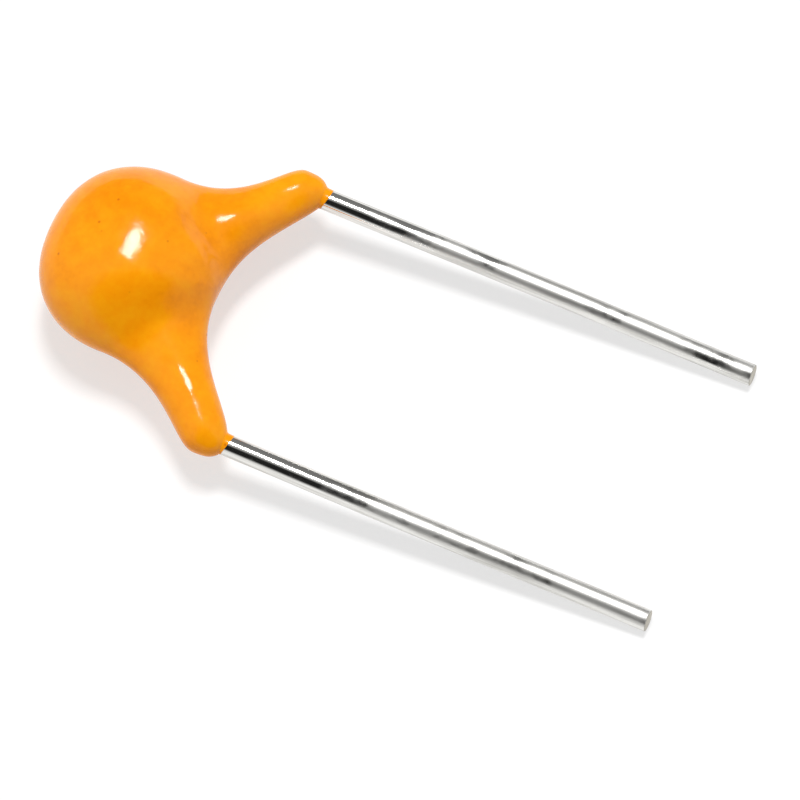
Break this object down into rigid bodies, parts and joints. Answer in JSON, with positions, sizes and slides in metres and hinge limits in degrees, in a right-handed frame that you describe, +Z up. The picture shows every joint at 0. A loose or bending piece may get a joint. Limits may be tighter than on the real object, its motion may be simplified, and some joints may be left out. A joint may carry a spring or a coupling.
{
  "type": "multilayer ceramic capacitor",
  "caption": "Small dipped radial ceramic capacitor: a rounded glossy epoxy drop with spread legs and parallel tinned wire leads.",
  "frame": {"origin": "middle of the part's box at the ground it lies on", "axes": "+Y from the dipped body towards the cut ends of the leads, +X from the left lead to the right one, +Z up from the ground"},
  "size_m": [0.0058, 0.0126, 0.0025],
  "materials": {
    "dipped_epoxy": "gloss",
    "ceramic": "matte",
    "electrode_metal": "satin",
    "termination_metal": "satin",
    "solder": "satin",
    "tinned_wire": "polished"
  },
  "bodies": {
    "root": {"epoxy_coating": "dipped_epoxy", "ceramic_chip": "ceramic", "electrodes_left": "electrode_metal", "electrodes_right": "electrode_metal", "termination_left": "termination_metal", "termination_right": "termination_metal", "solder_left": "solder", "solder_right": "solder", "lead_left": "tinned_wire", "lead_right": "tinned_wire"}
  },
  "joints": []
}
